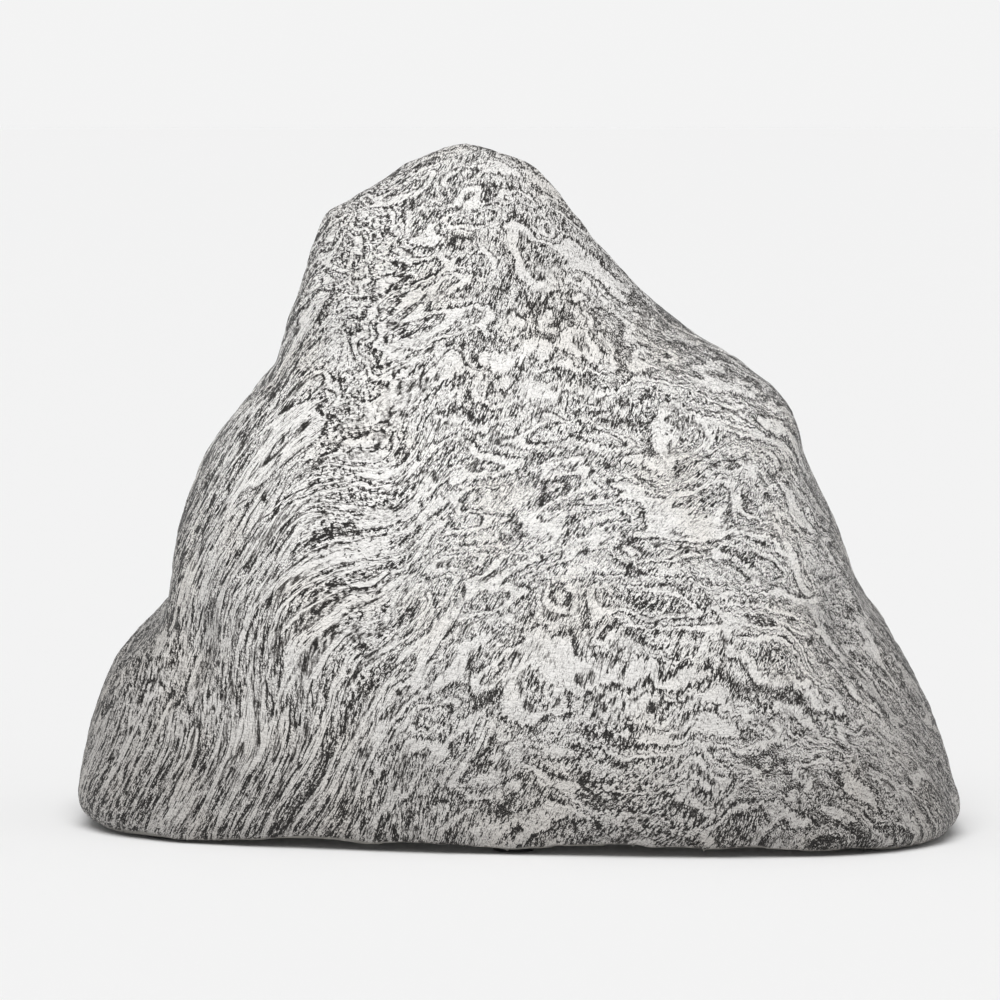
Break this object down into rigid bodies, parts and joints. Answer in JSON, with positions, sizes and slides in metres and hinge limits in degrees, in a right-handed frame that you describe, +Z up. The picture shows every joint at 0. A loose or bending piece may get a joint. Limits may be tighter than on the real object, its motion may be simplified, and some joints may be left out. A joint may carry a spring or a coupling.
{
  "type": "resin cave ornament",
  "caption": "Hollow mountain-shaped resin rock with a folded gneiss print, open underneath, with a cave mouth at the back, a side exit, rubber feet and ballast.",
  "frame": {"origin": "middle of the footprint's bounding box, on the plane of the feet's undersides", "axes": "+X to the rock's right seen from the front, +Y to its back, where the cave mouth is, +Z up"},
  "size_m": [0.397, 0.2638, 0.3065],
  "materials": {
    "printed_resin": "satin printed film over fine mould grain",
    "raw_resin": "unprinted cast resin, matt",
    "silicone": "matt moulded silicone",
    "ballast_cement": "rough cement-filled resin"
  },
  "bodies": {
    "root": {"rock_shell": "printed_resin", "rim_frame": "raw_resin", "vent_bush": "silicone", "foot_pad_1": "silicone", "foot_pad_2": "silicone", "foot_pad_3": "silicone", "foot_pad_4": "silicone", "foot_pad_5": "silicone", "foot_pad_6": "silicone", "foot_pad_7": "silicone", "ballast_block_front_left": "ballast_cement", "ballast_block_front_right": "ballast_cement", "ballast_block_right": "ballast_cement", "ballast_block_left": "ballast_cement"}
  },
  "joints": []
}
